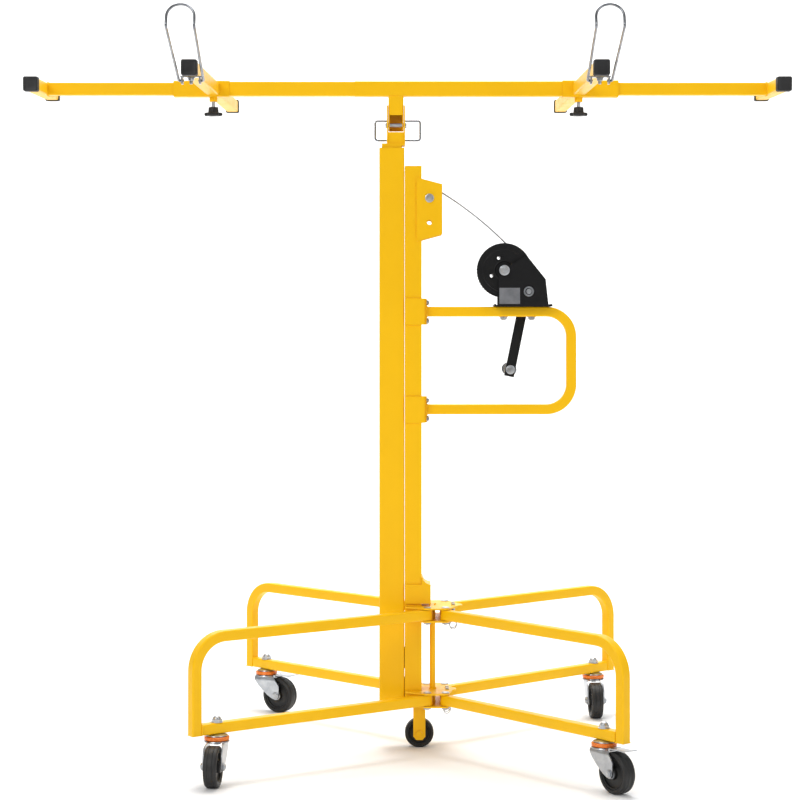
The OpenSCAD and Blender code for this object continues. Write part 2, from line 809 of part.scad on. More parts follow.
// Swivelling fork with its axle; the wheel trails along +x
module fork() {
  axle_z = wheel_d / 2;
  inner = fork_w / 2 - fork_t;
  difference() {
    union() {
      translate([0, 0, fork_top]) cylinder(r = 24, h = hub_t);
      translate([0, 0, fork_top + hub_t]) cylinder(r = race_r, h = race_top - fork_top - hub_t - loose);
      for (side = [-1, 1]) translate([0, side * (inner + fork_t / 2), 0]) rotate([90, 0, 0])
        linear_extrude(fork_t, center = true) union() {
          polygon([
            [-14, fork_top + hub_t], [24, fork_top + hub_t], [trail + 4, fork_top - 6],
            [trail + 8, fork_top - 20], [trail + 8.5, axle_z], [trail - 6, axle_z - 6],
            [-16, fork_top - 12], [-18, fork_top]
          ]);
          translate([trail, axle_z]) circle(8.5);
        }
    }
    translate([0, 0, fork_top - 1]) cylinder(r = stem_r + run_gap, h = 20);
  }
  translate([trail, 0, axle_z]) {
    bar_y(axle_r, fork_w);
    for (side = [-1, 1]) translate([0, side * (fork_w / 2 + 2), 0]) rotate([90, 0, 0])
      cylinder(r = 6.5, h = 4, center = true, $fn = 6);
  }
}

module fork_fl() color(zinc) at_stem(FL, trail_fl) fork();
module fork_fr() color(zinc) at_stem(FR, trail_fr) fork();
module fork_bl() color(zinc) at_stem(BL, trail_bl) fork();
module fork_br() color(zinc) at_stem(BR, trail_br) fork();

// Wheel with a rounded tread, turning about y
module wheel_shape(d, w, hub) {
  edge = 5;
  rotate([90, 0, 0]) rotate_extrude() difference() {
    union() {
      translate([0, -hub / 2]) square([d / 6, hub]);
      translate([0, -w / 2 + 3]) square([d / 2 - edge, w - 6]);
      translate([d / 2 - 4 * edge / 2, -w / 2]) square([edge, w]);
      translate([0, -w / 2 + edge]) square([d / 2, w - 2 * edge]);
      for (s = [-1, 1]) translate([d / 2 - edge, s * (w / 2 - edge)]) circle(edge);
    }
    translate([-d, -d]) square([d + axle_r + run_gap, 2 * d]);
  }
}

module caster_wheel(p, turn) {
  at_stem(p, turn) translate([trail, 0, wheel_d / 2]) wheel_shape(wheel_d, wheel_w, fork_w - 2 * fork_t - 2);
}

module wheel_fl() color(black) caster_wheel(FL, trail_fl);
module wheel_fr() color(black) caster_wheel(FR, trail_fr);
module wheel_bl() color(black) caster_wheel(BL, trail_bl);
module wheel_br() color(black) caster_wheel(BR, trail_br);

// Brake pedal hinged between the fork's cheeks
module brake() {
  translate([25.5, -13, fork_top + 2]) cube([46, 26, 2.4]);
  translate([70, -13, fork_top + 2]) rotate([0, -20, 0]) cube([10, 26, 2.4]);
  translate([29, 0, fork_top + 3]) bar_y(2.6, 28);
}

module brake_fr() color(zinc) at_stem(FR, trail_fr) brake();
module brake_bl() color(zinc) at_stem(BL, trail_bl) brake();

module centre_wheel() color(black) {
  translate([46.5, 0, centre_d / 2]) wheel_shape(centre_d, 22, 26);
}

// ---------- winch ----------

module sheave() color(black) {
  translate([sheave_x, 0, sheave_z]) rotate([90, 0, 0]) rotate_extrude() difference() {
    translate([0, -6]) square([sheave_r, 12]);
    translate([sheave_line, 0]) circle(d = cable_d + 0.6);
    translate([sheave_line, -cable_d / 2 - loose]) square([9, cable_d + 2 * loose]);
    translate([-20, -20]) square([20 + axle_r + run_gap, 40]);
  }
}

// Outline of a spur gear with straight-flanked teeth
module gear_outline(teeth, phase) {
  pitch = gear_module * teeth / 2;
  root = pitch - 1.25 * gear_module;
  top = pitch + 0.8 * gear_module;
  step = 360 / teeth;
  polygon([for (i = [0:teeth - 1], k = [0:3])
    let (a = phase + step * (i + [-0.31, -0.1, 0.1, 0.31][k]), r = [root, top, top, root][k])
    [r * cos(a), r * sin(a)]]);
}

drum_r = drum_line - cable_d / 2 - 0.2;
mesh_angle = atan2(pinion_z - drum_z, pinion_x - drum_x);

module drum() color(black) {
  translate([drum_x, 0, drum_z]) difference() {
    union() {
      translate([0, -25, 0]) rotate([90, 0, 0]) linear_extrude(2.4) difference() {
        circle(54.5);
        for (i = [0:3]) rotate(23 + 90 * i) translate([27, 0]) union() {
          square([5, 12], center = true);
          for (s = [-1, 1]) translate([0, 6 * s]) circle(2.5);
        }
      }
      bar_y(drum_r, 39.2, -5.5);
      translate([0, 20, 0]) rotate([90, 0, 0]) linear_extrude(6.1)
        gear_outline(gear_teeth, mesh_angle + 180 / gear_teeth);
    }
    bar_y(5.6 + run_gap, 80);
    for (i = [0:3]) rotate([0, -23 - 90 * i, 0]) translate([27, 0, 0]) bar_y(3.5, 80);
  }
}

module crank() color(black) {
  translate([pinion_x, 0, pinion_z]) {
    bar_y(stem_r, crank_y + 44, (crank_y - 44 + 8) / 2 - 4);
    translate([0, 21, 0]) rotate([90, 0, 0]) linear_extrude(8)
      gear_outline(pinion_teeth, mesh_angle + 180);
    translate([0, 29, 0]) rotate([90, 0, 0]) linear_extrude(5) gear_outline(14, 0);
    translate([0, crank_y + 6, 0]) rotate([90, 0, 0]) difference() {
      linear_extrude(6) rotate(-90 - crank_lean) union() {
        translate([-12, -10]) square([crank_len + 26, 20]);
      }
      rotate(-90 - crank_lean) translate([crank_len, 0, -1]) cylinder(r = 4 + run_gap, h = 9);
    }
  }
}

module grip() color(black) {
  translate([grip_x, 0, grip_z]) {
    bar_y(4, 14, crank_y + 1);
    translate([0, crank_y - 6, 0]) rotate([90, 0, 0]) hex(7, 4);
    bar_y(13, 92, crank_y + 6.5 + 46);
  }
}

module pawl() color(steel)
  translate([291, 26.5, pinion_z + 16]) rotate([90, 0, 0]) difference() {
    union() {
      cylinder(r = 5.5, h = 5, center = true);
      linear_extrude(5, center = true) polygon([[-5, 1], [-1.5, -5], [-7, -13], [-12.5, -8.5]]);
    }
    cylinder(r = 2.9 + run_gap, h = 6, center = true);
  }

fixed_mast();
pulley_bracket();
hub_collar();
hub_plates();
frame_bolts();
lock_pins();
winch_frame();
winch_clamps();
winch_body();
winch_label();
lift_cable();
mast_cable();
wheel_fork();
lift_tube();
guide_blocks();
inner_tube();
head_clevis();
pivot_pin();
cradle_post();
crossbar_main();
crossbar_left();
left_arm();
right_arm();
arm_sleeves();
arm_caps();
hook_brackets();
latch_left();
latch_right();
outrigger_left();
outrigger_right();
tip_caps_left();
tip_caps_right();
knob_left();
knob_right();
hook_left();
hook_right();
leg_fl();
leg_fr();
leg_bl();
leg_br();
stem_fl();
stem_fr();
stem_bl();
stem_br();
fork_fl();
fork_fr();
fork_bl();
fork_br();
wheel_fl();
wheel_fr();
wheel_bl();
wheel_br();
brake_fr();
brake_bl();
centre_wheel();
sheave();
drum();
crank();
grip();
pawl();
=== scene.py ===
import json
import math
import random

import bmesh
import bpy
from mathutils import Matrix, Vector


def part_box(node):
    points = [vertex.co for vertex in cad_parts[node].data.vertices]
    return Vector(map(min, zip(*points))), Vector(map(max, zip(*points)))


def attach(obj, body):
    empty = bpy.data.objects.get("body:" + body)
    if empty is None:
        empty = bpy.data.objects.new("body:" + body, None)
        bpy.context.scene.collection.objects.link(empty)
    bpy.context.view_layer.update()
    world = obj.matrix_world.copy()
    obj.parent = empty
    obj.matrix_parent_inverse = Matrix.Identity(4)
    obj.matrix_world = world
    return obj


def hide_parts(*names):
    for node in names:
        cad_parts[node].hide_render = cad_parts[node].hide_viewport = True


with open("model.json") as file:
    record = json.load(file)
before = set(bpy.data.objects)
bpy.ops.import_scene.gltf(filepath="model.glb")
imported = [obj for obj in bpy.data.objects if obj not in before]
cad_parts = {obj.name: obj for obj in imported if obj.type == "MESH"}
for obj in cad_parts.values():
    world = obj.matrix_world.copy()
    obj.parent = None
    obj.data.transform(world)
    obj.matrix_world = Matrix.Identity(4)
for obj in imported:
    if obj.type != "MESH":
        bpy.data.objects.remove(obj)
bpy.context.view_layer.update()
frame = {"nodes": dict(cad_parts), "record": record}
NODES = frame["nodes"]
SLOT_OF = {s["node"]: s["material_slot"] for s in frame["record"]["subparts"]}
JOINTS = {j["name"]: j for j in frame["record"]["behaviour"]["joints"]}
CORNERS = ("fl", "fr", "bl", "br")
SIDES = ("left", "right")
UP, DOWN = (0, 0, 1), (0, 0, -1)
FRONT, BACK = (0, -1, 0), (0, 1, 0)


# ---------- node helpers ----------

def new_material(name):
    """A material with its shader, and a maker of nodes and links."""
    mat = bpy.data.materials.new(name)
    mat.use_nodes = True
    tree = mat.node_tree
    shader = tree.nodes["Principled BSDF"]

    def node(kind, **sockets):
        made = tree.nodes.new(kind)
        for key, value in sockets.items():
            if key in made.inputs:
                made.inputs[key].default_value = value
            else:
                setattr(made, key, value)
        return made

    return mat, tree, shader, node


def noise_of(tree, node, scale, detail, rough=0.55):
    """Noise in object space, the same size on every piece."""
    place = node("ShaderNodeTexCoord")
    noise = node("ShaderNodeTexNoise", Scale=scale, Detail=detail, Roughness=rough)
    tree.links.new(place.outputs["Object"], noise.inputs["Vector"])
    return noise


def ramp(tree, node, source, stops):
    """Colour ramp from (position, colour) stops."""
    made = node("ShaderNodeValToRGB")
    elements = made.color_ramp.elements
    while len(elements) < len(stops):
        elements.new(0.5)
    for element, (at, colour) in zip(elements, stops):
        element.position = at
        element.color = (*colour, 1)
    tree.links.new(source, made.inputs["Fac"])
    return made


def add_gloss(tree, node, shader, source, low, high, from_low=0.0, from_high=1.0):
    """Roughness that runs from low to high with the source."""
    gloss = node("ShaderNodeMapRange")
    gloss.inputs["From Min"].default_value = from_low
    gloss.inputs["From Max"].default_value = from_high
    gloss.inputs["To Min"].default_value = low
    gloss.inputs["To Max"].default_value = high
    tree.links.new(source, gloss.inputs["Value"])
    tree.links.new(gloss.outputs["Result"], shader.inputs["Roughness"])


def add_bump(tree, node, shader, height, strength, distance):
    """Fine relief from a height."""
    bump = node("ShaderNodeBump", Strength=strength, Distance=distance)
    tree.links.new(height, bump.inputs["Height"])
    tree.links.new(bump.outputs["Normal"], shader.inputs["Normal"])


# ---------- materials ----------

def powder_coat(name, low, high, roughness, coat):
    """Sprayed coat: faint orange peel, slow drift of colour, small scuffs."""
    mat, tree, shader, node = new_material(name)
    drift = noise_of(tree, node, 7.0, 3.0)
    colour = ramp(tree, node, drift.outputs["Fac"], [(0.3, low), (0.7, high)])
    tree.links.new(colour.outputs["Color"], shader.inputs["Base Color"])
    scuff = noise_of(tree, node, 60.0, 6.0, 0.65)
    add_gloss(tree, node, shader, scuff.outputs["Fac"], roughness - 0.04, roughness + 0.1, 0.35, 0.75)
    peel = noise_of(tree, node, 420.0, 2.0)
    add_bump(tree, node, shader, peel.outputs["Fac"], 0.12, 0.0006)
    shader.inputs["Coat Weight"].default_value = coat
    shader.inputs["Coat Roughness"].default_value = 0.18
    shader.inputs["Specular IOR Level"].default_value = 0.22
    return mat


def plated(name, low, high, roughness, grain):
    """Plated steel: mottled lustre and fine scratches."""
    mat, tree, shader, node = new_material(name)
    cloud = noise_of(tree, node, 55.0, 5.0)
    colour = ramp(tree, node, cloud.outputs["Fac"], [(0.3, low), (0.7, high)])
    tree.links.new(colour.outputs["Color"], shader.inputs["Base Color"])
    add_gloss(tree, node, shader, cloud.outputs["Fac"], roughness - 0.08, roughness + 0.12)
    shader.inputs["Metallic"].default_value = 1.0
    scratch = noise_of(tree, node, grain, 3.0, 0.7)
    add_bump(tree, node, shader, scratch.outputs["Fac"], 0.1, 0.0004)
    return mat


def moulded(name, low, high, roughness, grain, depth):
    """Moulded plastic or rubber: fine texture and dusty patches."""
    mat, tree, shader, node = new_material(name)
    dust = noise_of(tree, node, 40.0, 5.0)
    colour = ramp(tree, node, dust.outputs["Fac"], [(0.35, low), (0.75, high)])
    tree.links.new(colour.outputs["Color"], shader.inputs["Base Color"])
    add_gloss(tree, node, shader, dust.outputs["Fac"], roughness - 0.08, roughness + 0.08)
    pores = noise_of(tree, node, grain, 2.0)
    add_bump(tree, node, shader, pores.outputs["Fac"], 0.25, depth)
    return mat


# maker, name, darkest and lightest colour, then roughness and the maker's own values
FINISHES = (
    (powder_coat, "yellow_paint", (0.91, 0.505, 0.0005), (0.94, 0.53, 0.001), 0.4, 0.06),
    (powder_coat, "black_paint", (0.003, 0.003, 0.0035), (0.006, 0.006, 0.0065), 0.42, 0.1),
    (plated, "zinc_steel", (0.36, 0.38, 0.41), (0.56, 0.58, 0.6), 0.32, 260.0),
    (plated, "chrome_wire", (0.2, 0.21, 0.23), (0.34, 0.35, 0.37), 0.2, 300.0),
    (plated, "steel_cable", (0.32, 0.32, 0.34), (0.46, 0.46, 0.48), 0.42, 500.0),
    (moulded, "black_plastic", (0.006, 0.006, 0.0065), (0.016, 0.016, 0.017), 0.48, 600.0, 0.0004),
    (moulded, "wheel_rubber", (0.004, 0.004, 0.004), (0.011, 0.011, 0.011), 0.5, 380.0, 0.0005),
    (moulded, "nylon", (0.02, 0.02, 0.022), (0.04, 0.04, 0.042), 0.45, 500.0, 0.0003),
    (plated, "label_plate", (0.2, 0.205, 0.22), (0.28, 0.285, 0.3), 0.45, 350.0),
)
MATERIALS = {name: maker(name, *values) for maker, name, *values in FINISHES}
ORANGE = moulded("orange_seal", (0.75, 0.16, 0.01), (0.9, 0.24, 0.02), 0.35, 400.0, 0.0003)


def dress_nodes():
    """Every CAD node takes the material of its slot."""
    for name, obj in NODES.items():
        mat = MATERIALS[SLOT_OF[name]]
        if not obj.material_slots:
            obj.data.materials.append(mat)
        for slot in obj.material_slots:
            slot.material = mat


dress_nodes()


# ---------- mesh helpers ----------

class Shape:
    """A mesh built up from lathed, extruded and swept parts."""

    def __init__(self):
        self.bm = bmesh.new()

    def grid(self, rows, closed_u=False, closed_v=False, cap=False):
        """Quads over rows of points; closed_v joins each row's ends."""
        made = [[self.bm.verts.new(p) for p in row] for row in rows]
        nu, nv = len(made), len(made[0])
        for i in range(nu if closed_u else nu - 1):
            for j in range(nv if closed_v else nv - 1):
                a, b = made[i], made[(i + 1) % nu]
                self.bm.faces.new((a[j], a[(j + 1) % nv], b[(j + 1) % nv], b[j]))
        if cap:
            self.bm.faces.new(list(reversed(made[0])))
            self.bm.faces.new(made[-1])
        return self

    def lathe(self, profile, place, segments=48):
        """Turns (radius, height) points about local z, closing both ends."""
        rows = []
        for r, z in profile:
            ring = []
            for k in range(segments):
                a = 2 * math.pi * k / segments
                ring.append(place @ Vector((r * math.cos(a), r * math.sin(a), z)))
            rows.append(ring)
        return self.grid(rows, closed_v=True, cap=True)

    def ring(self, profile, place, segments=48):
        """Turns a closed (radius, height) outline about local z."""
        rows = []
        for r, z in profile:
            rows.append([
                place @ Vector((r * math.cos(t), r * math.sin(t), z))
                for t in (2 * math.pi * k / segments for k in range(segments))
            ])
        return self.grid(rows, closed_u=True, closed_v=True)

    def prism(self, outline, low, high, place, chamfer=0.0):
        """Extrudes a flat outline, with its edges chamfered."""
        cx = sum(p[0] for p in outline) / len(outline)
        cy = sum(p[1] for p in outline) / len(outline)

        def level(z, inset):
            row = []
            for x, y in outline:
                d = math.hypot(x - cx, y - cy)
                k = (d - inset) / d
                row.append(place @ Vector((cx + (x - cx) * k, cy + (y - cy) * k, z)))
            return row

        rows = [level(low, chamfer), level(low + chamfer, 0), level(high - chamfer, 0), level(high, chamfer)]
        return self.grid(rows, closed_v=True, cap=True)

    def tube(self, path, radius, sides=10, twist=0.0):
        """Round bar along a path of points; radius may be a function of 0..1."""
        side = Vector((0.31, 0.11, 0.94))
        rows = []
        count = len(path)
        for i, p in enumerate(path):
            t = (Vector(path[min(i + 1, count - 1)]) - Vector(path[max(i - 1, 0)])).normalized()
            side = (side - side.dot(t) * t).normalized()
            other = t.cross(side)
            r = radius(i / (count - 1)) if callable(radius) else radius
            rows.append([
                Vector(p) + r * (math.cos(a) * side + math.sin(a) * other)
                for a in (2 * math.pi * k / sides + twist * i for k in range(sides))
            ])
        return self.grid(rows, closed_v=True, cap=True)

    def bead(self, a, b, radius, seed=1):
        """A weld bead from a to b: overlapping ripples of uneven size."""
        dice = random.Random(seed)
        a, b = Vector(a), Vector(b)
        span = b - a
        steps = max(int(span.length / (radius * 0.8)), 3)
        path = [a + span * (i / (4 * steps)) for i in range(4 * steps + 1)]
        sizes = [dice.uniform(0.88, 1.1) for _ in range(steps + 1)]

        def swell(f):
            at = f * steps
            ripple = abs(math.sin(math.pi * at))
            ends = min(1.0, 6 * min(f, 1 - f) + 0.45)
            return radius * sizes[min(int(at), steps)] * (0.82 + 0.2 * ripple) * ends

        return self.tube(path, swell, 8)

    def make(self, name, body, slot, material=None, replaces=(), angle=38):
        """Finishes the mesh as a piece that rides on a body."""
        bmesh.ops.recalc_face_normals(self.bm, faces=self.bm.faces)
        mesh = bpy.data.meshes.new(name)
        self.bm.to_mesh(mesh)
        self.bm.free()
        mesh.materials.append(material or MATERIALS[slot])
        mesh.polygons.foreach_set("use_smooth", [True] * len(mesh.polygons))
        mesh.set_sharp_from_angle(angle=math.radians(angle))
        obj = bpy.data.objects.new(name, mesh)
        bpy.context.collection.objects.link(obj)
        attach(obj, body)
        if replaces:
            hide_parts(*replaces)
        return obj


def frame_at(point, z_axis, x_hint=(1, 0, 0)):
    """Matrix whose local z runs along z_axis and whose local x leans to x_hint."""
    z = Vector(z_axis).normalized()
    x = Vector(x_hint)
    x = x - x.dot(z) * z
    if x.length < 1e-6:
        x = Vector((0, 1, 0)) - Vector((0, 1, 0)).dot(z) * z
    x.normalize()
    y = z.cross(x)
    turn = Matrix((x, y, z)).transposed().to_4x4()
    return Matrix.Translation(Vector(point)) @ turn


def hexagon(across):
    """Outline of a hexagon of this width across its flats."""
    return [
        (across / math.sqrt(3) * math.cos(a), across / math.sqrt(3) * math.sin(a))
        for a in (math.radians(60 * k + 30) for k in range(6))
    ]


def hex_head(shape, place, across, height):
    """Hexagon head over a washer, with the tip of its thread showing."""
    washer = [(0.62, 0.0), (0.68, 0.0004), (0.68, 0.0012), (0.6, 0.0016)]
    tip = [(0.3, height - 0.001), (0.3, height + 0.0004), (0.24, height + 0.0012)]
    shape.lathe([(across * share, z) for share, z in washer], place)
    shape.prism(hexagon(across), 0.0014, height, place, chamfer=0.0007)
    shape.lathe([(across * share, z) for share, z in tip], place, 24)


# ---------- casters ----------

WHEEL_R = 0.0375
TRAIL = 0.035
HALF_TREAD = 0.0125
CENTRE_R = 0.0288
CENTRE_HALF = 0.011
BORE_R = 0.00405
FORK_TOP = 0.0792
SHEET_HALF = 0.00115


def wheel_profile(radius, half, hub_half, bore):
    """Half-round tread with two grooves, rim step, dished hub and boss."""
    outer = []
    edge = 0.3 * half
    for k in range(7):
        a = math.radians(-90 + 15 * k)
        outer.append((radius - edge + edge * math.cos(a), -half + edge + edge * math.sin(a)))
    floor_r = radius - 0.0006
    tread = [
        (radius, -0.42 * half), (floor_r, -0.38 * half), (floor_r, -0.32 * half), (radius, -0.28 * half),
    ]
    side = [
        (bore, -hub_half), (0.26 * radius, -hub_half), (0.29 * radius, -hub_half + 0.0008),
        (0.3 * radius, -0.62 * half), (0.34 * radius, -0.55 * half), (0.6 * radius, -0.5 * half),
        (0.68 * radius, -0.6 * half), (0.7 * radius, -0.86 * half), (0.74 * radius, -0.9 * half),
        (0.76 * radius, -0.84 * half), (0.79 * radius, -0.84 * half), (0.81 * radius, -0.97 * half),
    ]
    lower = side + outer + tread
    return lower + [(r, -z) for r, z in reversed(lower)]


def caster(tag, braked):
    """Detailed wheel, pressed fork, seal and nut for one caster."""
    spin = JOINTS[f"wheel_{tag}_spin"]
    swivel = JOINTS[f"caster_{tag}_swivel"]
    hub = Vector(spin["pos_m"])
    stem = Vector(swivel["pos_m"])
    ahead = Vector((hub.x - stem.x, hub.y - stem.y, 0)).normalized()
    across = Vector((-ahead.y, ahead.x, 0))
    wheel_body = f"caster_wheel_{tag}"
    fork_body = f"caster_{tag}"
    leg_body = f"leg_{tag}_frame"

    tyre = Shape()
    tyre.ring(wheel_profile(WHEEL_R, HALF_TREAD, 0.0148, BORE_R), frame_at(hub, across, ahead), 72)
    tyre.make(f"tyre_{tag}", wheel_body, "wheel_rubber", replaces=(f"wheel_{tag}",), angle=30)

    hubcap = Shape()
    for s in (-1, 1):
        hubcap.lathe(
            [(0.0062, 0.0138), (0.0095, 0.0138), (0.0095, 0.0147), (0.0086, 0.0151), (0.0062, 0.0151)],
            frame_at(hub, s * across, ahead), 36)
    hubcap.make(f"bearing_ring_{tag}", wheel_body, "zinc_steel")

    fork = Shape()
    base = frame_at((stem.x, stem.y, 0), (0, 0, 1), ahead)
    fork.ring([
        (0.0061, 0.0766), (0.0135, 0.0766), (0.0205, 0.0761), (0.0232, 0.0766), (0.0238, 0.0776),
        (0.0232, 0.0792), (0.0205, 0.0796), (0.0139, 0.08), (0.0125, 0.0812), (0.0121, 0.0862),
        (0.0061, 0.0864),
    ], base)
    for s in (-1, 1):
        rows = []
        for i in range(25):
            f = i / 24
            z = FORK_TOP - f * 0.0508
            front = 0.0225 + 0.0207 * min(1.0, f / 0.42) ** 0.7
            rear = -0.0195 + 0.0465 * max(0.0, (f - 0.16) / 0.84) ** 1.35
            if f > 0.78:
                g = (f - 0.78) / 0.22
                round_in = 0.0085 * (1 - math.sqrt(max(0.0, 1 - g * g)))
                front -= round_in
                rear += round_in
            flare = max(0.0, 1 - f / 0.2)
            y = 0.0173 - 0.0055 * flare ** 2
            rows.append([(front + (rear - front) * k / 10, y, z, flare) for k in range(11)])
        skin = []
        for thick in (-SHEET_HALF, SHEET_HALF):
            skin.append([[
                base @ Vector((x, s * (y + thick), z)) for x, y, z, _ in row
            ] for row in rows])
        loop = [[*inner, *reversed(outer)] for inner, outer in zip(*skin)]
        fork.grid(loop, closed_v=True, cap=True)
        outward = Matrix.Rotation(-s * math.pi / 2, 4, "X")
        head = base @ Matrix.Translation((TRAIL, s * 0.0184, WHEEL_R)) @ outward
        hex_head(fork, head, 0.0115, 0.0042)
    fork.lathe([(0.0039, -0.0184), (0.0039, 0.0184)],
               base @ Matrix.Translation((TRAIL, 0, WHEEL_R)) @ Matrix.Rotation(math.pi / 2, 4, "X"), 24)
    fork.make(f"pressed_fork_{tag}", fork_body, "zinc_steel", replaces=(f"fork_{tag}",), angle=35)

    stem_metal = Shape()
    stem_metal.lathe([
        (0.0135, 0.0872), (0.0196, 0.0872), (0.0203, 0.0882), (0.0198, 0.0894), (0.0165, 0.0905),
        (0.0125, 0.0918),
    ], base)
    stem_metal.prism(hexagon(0.0155), 0.0722, 0.0764, base, chamfer=0.0006)
    stem_metal.lathe([(0.0058, 0.076), (0.0058, 0.1125)], base, 24)
    stem_metal.prism(hexagon(0.0172), 0.1128, 0.1182, base, chamfer=0.0006)
    stem_metal.lathe([(0.0105, 0.112), (0.0112, 0.1124), (0.0112, 0.1132), (0.0103, 0.1136)], base)
    dome = [
        (0.0079 * math.cos(a), 0.118 + 0.0062 * math.sin(a))
        for a in (math.radians(9 * k) for k in range(10))
    ]
    stem_metal.lathe(dome + [(0.0002, 0.1242)], base)
    stem_metal.make(f"stem_metal_{tag}", leg_body, "zinc_steel", replaces=(f"stem_{tag}",))

    seal = Shape()
    seal.ring([
        (0.0134, 0.0806), (0.0222, 0.0804), (0.0234, 0.0812), (0.0229, 0.0827), (0.0234, 0.0842),
        (0.0234, 0.0858), (0.0222, 0.0869), (0.0134, 0.0869),
    ], base, 64)
    seal.make(f"dust_seal_{tag}", leg_body, "zinc_steel", material=ORANGE, angle=50)

    if braked:
        pedal = Shape()
        rows = []
        for i in range(15):
            f = i / 14
            x = 0.0262 + 0.0525 * f
            z = 0.0786 + 0.0012 * math.sin(3 * f) + 0.0045 * max(0.0, f - 0.72) / 0.28
            half = 0.0125 - 0.0022 * math.sin(math.pi * f) - 0.0035 * max(0.0, f - 0.85) / 0.15
            rows.append((x, z, half))
        loops = []
        for x, z, half in rows:
            upper = [base @ Vector((x, half * (k / 4 - 1), z + 0.0022)) for k in range(9)]
            lower = [base @ Vector((x, half * (1 - k / 4), z)) for k in range(9)]
            loops.append(upper + lower)
        pedal.grid(loops, closed_v=True, cap=True)
        pedal.lathe([(0.0024, -0.0136), (0.0028, -0.013), (0.0028, 0.013), (0.0024, 0.0136)],
                    base @ Matrix.Translation((0.029, 0, 0.0792)) @ Matrix.Rotation(math.pi / 2, 4, "X"), 24)
        pedal.make(f"pedal_{tag}", f"brake_pedal_{tag}", "zinc_steel", replaces=(f"brake_{tag}",))


def centre_tyre():
    """The small fixed wheel under the mast."""
    centre = Shape()
    place = frame_at(JOINTS["centre_wheel_spin"]["pos_m"], BACK)
    centre.ring(wheel_profile(CENTRE_R, CENTRE_HALF, 0.0128, BORE_R), place, 64)
    centre.make("centre_tyre", "centre_wheel_body", "wheel_rubber", replaces=("centre_wheel",), angle=30)


for tag in CORNERS:
    caster(tag, braked=f"brake_{tag}" in NODES)
centre_tyre()


# ---------- cradle ----------

PIN = Vector(JOINTS["cradle_tilt"]["pos_m"])
KNOB_AXIS = Vector(JOINTS["knob_left_turn"]["axis"])
LEAN = (
    Matrix.Translation(PIN)
    @ Matrix.Rotation(math.atan2(-KNOB_AXIS.y, KNOB_AXIS.z), 4, "X")
    @ Matrix.Translation(-PIN)
)
UNLEAN = LEAN.inverted()
KNOB_DROP = 0.045
DISC_DROP = 0.0535
BAR_Z = (UNLEAN @ Vector(JOINTS["knob_left_turn"]["pos_m"])).z + KNOB_DROP
ARM_X = JOINTS["knob_right_turn"]["pos_m"][0]
ARM_HALF = 0.466
END_HALF = 0.13


def rounded_loop(half, corner, place, z, steps=4):
    """Rounded square of points at height z."""
    points = []
    for quarter in range(4):
        for k in range(steps + 1):
            a = math.pi / 2 * (quarter + k / steps)
            cx = (half - corner) * (1 if quarter in (0, 3) else -1)
            cy = (half - corner) * (1 if quarter in (0, 1) else -1)
            points.append(place @ Vector((cx + corner * math.cos(a), cy + corner * math.sin(a), z)))
    return points


def end_cap(name, body, place, replaced):
    """Moulded cap: rolled mouth, drafted sides, soft edge and a sunk face."""
    cap = Shape()
    profile = [
        (0.0140, -0.0162), (0.0145, -0.0158), (0.0145, -0.0142), (0.0142, -0.0136), (0.01425, 0.0002),
        (0.0139, 0.0012), (0.0131, 0.0018), (0.0118, 0.0018), (0.0113, 0.00155), (0.006, 0.00155),
    ]
    rows = [rounded_loop(half, min(0.0034, half * 0.4), place, z) for half, z in profile]
    cap.grid(rows, closed_v=True, cap=True)
    cap.make(name, body, "black_plastic", angle=40, replaces=(replaced,))


def cap_place(x, y, way):
    """Place of an end cap on the leaning cradle."""
    return LEAN @ frame_at((x, y, BAR_Z), (0, way, 0), (1, 0, 0))


CAP_HALF = 0.014
reach_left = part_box("tip_caps_left")[0][0] + CAP_HALF
reach_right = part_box("tip_caps_right")[1][0] - CAP_HALF
ENDS = ((-1, "front"), (1, "back"))
for side, x in zip(SIDES, (-ARM_X, ARM_X)):
    for way, end in ENDS:
        end_cap(f"arm_cap_{side}_{end}", "cradle", cap_place(x, way * ARM_HALF, way), "arm_caps")
for side, x in zip(SIDES, (reach_left, reach_right)):
    for way, end in ENDS:
        place = cap_place(x, way * END_HALF, way)
        end_cap(f"outrigger_cap_{side}_{end}", f"outrigger_{side}_bar", place, f"tip_caps_{side}")


def star_knob(side, x):
    """Six-lobed knob with a ribbed hub on a threaded stud."""
    place = LEAN @ Matrix.Translation((x, 0, BAR_Z - DISC_DROP))
    knob = Shape()

    def lobes(a):
        return 0.0163 + 0.0022 * math.cos(6 * a) - 0.0004 * math.cos(12 * a)

    def ribs(a):
        return 0.0003 * (1 if math.cos(16 * a) > 0 else -1)

    disc = [
        (0, -0.0022), (0.0006, -0.0008), (0.0016, 0), (0.0055, 0), (0.0066, -0.0009), (0.007, -0.0024),
    ]
    hub = [(0.0068, 0.0108), (0.0075, 0.0101), (0.016, 0.0095), (0.0175, 0.009), (0.018, 0.0078)]
    for profile, outline in ((disc, lobes), (hub, ribs)):
        rows = []
        for z, more in profile:
            row = []
            for k in range(96):
                a = 2 * math.pi * k / 96
                r = outline(a) + more
                row.append(place @ Vector((r * math.cos(a), r * math.sin(a), z)))
            rows.append(row)
        knob.grid(rows, closed_v=True, cap=True)
    knob.lathe([(0.006, -0.0001), (0.0055, -0.0006), (0.002, -0.0007)], place, 32)
    body = f"knob_{side}_star"
    knob.make(f"star_knob_{side}", body, "black_plastic", replaces=(f"knob_{side}",), angle=32)
    stud = Shape()
    top = DISC_DROP - 0.0129
    pitch = 0.00125
    thread = []
    z = 0.017
    while z < top - 0.001:
        thread += [(0.0036, z), (0.004, z + 0.0006)]
        z += pitch
    stud.lathe([(0.0034, 0.0168)] + thread + [(0.0038, top - 0.0008), (0.003, top)], place, 32)
    stud.make(f"knob_stud_{side}", body, "zinc_steel", angle=70)


